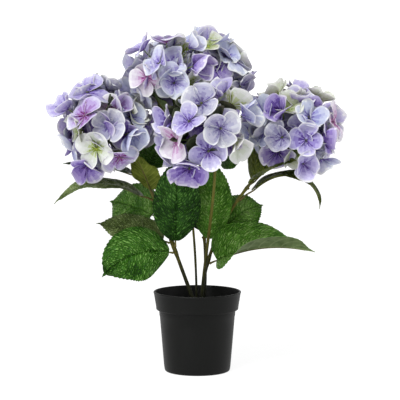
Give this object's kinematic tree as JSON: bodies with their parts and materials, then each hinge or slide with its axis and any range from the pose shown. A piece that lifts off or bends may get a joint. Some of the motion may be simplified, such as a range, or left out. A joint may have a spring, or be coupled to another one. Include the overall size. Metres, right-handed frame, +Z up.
{
  "type": "artificial potted hydrangea",
  "caption": "Artificial mophead hydrangea: branching flower stems with serrated leaves and round lilac heads, standing in a plain tapered pot.",
  "frame": {"origin": "centre of the flat underside of the pot", "axes": "+Z up, -Y the front of the plant, +X to the right seen from the front"},
  "size_m": [0.4006, 0.2833, 0.4679],
  "materials": {
    "pot": "satin black moulded plastic",
    "pot_fill": "dark weighted fill under a rough crust",
    "stem": "wire core in moulded olive plastic, brown in places",
    "leaf": "printed and pressed woven leaf with raised veins",
    "blossom": "thin dyed woven petals, paler at the rim"
  },
  "bodies": {
    "root": {"pot": "pot", "pot_fill": "pot_fill", "stem_left": "stem", "stem_right": "stem", "stem_front": "stem", "stem_top": "stem", "stem_back": "stem", "leaf_left_low": "leaf", "leaf_left_upright": "leaf", "leaf_left_mid": "leaf", "leaf_left_behind": "leaf", "leaf_left_long": "leaf", "leaf_left_crest": "leaf", "leaf_left_back": "leaf", "leaf_left_inner": "leaf", "leaf_right_upright": "leaf", "leaf_right_low": "leaf", "leaf_right_behind": "leaf", "leaf_right_droop": "leaf", "leaf_right_crest": "leaf", "leaf_right_back": "leaf", "leaf_front_side": "leaf", "leaf_top_left": "leaf", "leaf_top_right": "leaf", "leaf_back_low": "leaf", "leaf_back_left": "leaf", "leaf_back_right": "leaf", "leaf_back_crest": "leaf", "bloom_left": "blossom", "bloom_right": "blossom", "bloom_front": "blossom", "bloom_top": "blossom", "bloom_back": "blossom"}
  },
  "joints": []
}
